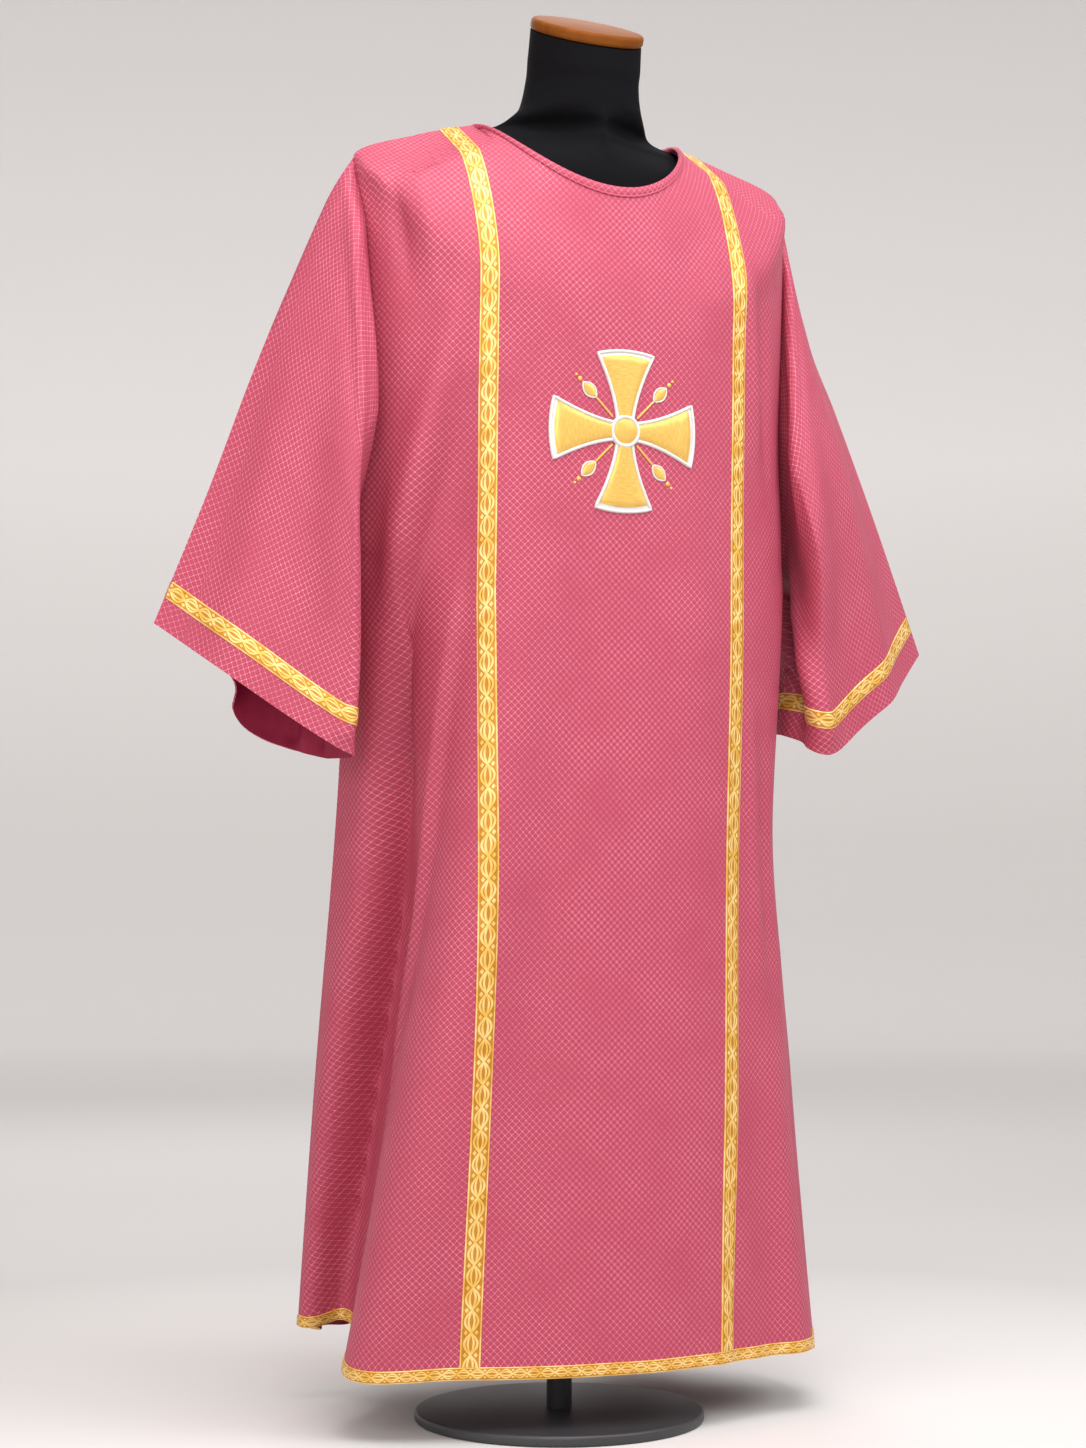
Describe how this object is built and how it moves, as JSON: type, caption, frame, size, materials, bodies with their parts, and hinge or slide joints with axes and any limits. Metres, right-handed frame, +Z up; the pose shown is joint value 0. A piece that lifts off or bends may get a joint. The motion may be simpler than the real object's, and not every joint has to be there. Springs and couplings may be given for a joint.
{
  "type": "dalmatic on dress form",
  "caption": "Knee-length vestment with wide open sleeves, woven bands and a chest cross, hung in soft folds on a limbless dress form with a round base.",
  "frame": {"origin": "centre of the stand base's underside, on the floor under the pole", "axes": "+Z up; the garment's front faces -Y; the wearer's left is +X"},
  "size_m": [0.9438, 0.4622, 1.5647],
  "materials": {
    "rose_brocade": "jacquard brocade with a soft satin sheen",
    "gold_galloon": "woven gold braid and gold thread",
    "silver_thread": "silver satin stitch",
    "black_jersey": "matte stretch jersey",
    "varnished_wood": "glossy varnish",
    "painted_steel": "satin black"
  },
  "bodies": {
    "root": {"front_panel": "rose_brocade", "back_panel": "rose_brocade", "sleeve_right": "rose_brocade", "sleeve_left": "rose_brocade", "neck_binding": "rose_brocade", "band_front_right": "gold_galloon", "band_front_left": "gold_galloon", "band_back_right": "gold_galloon", "band_back_left": "gold_galloon", "hem_galloon_front": "gold_galloon", "hem_galloon_back": "gold_galloon", "cuff_galloon_right": "gold_galloon", "cuff_galloon_left": "gold_galloon", "cross_ground": "silver_thread", "cross_field": "gold_galloon", "form_torso": "black_jersey", "form_cap": "varnished_wood", "stand_pole": "painted_steel", "stand_base": "painted_steel"}
  },
  "joints": []
}
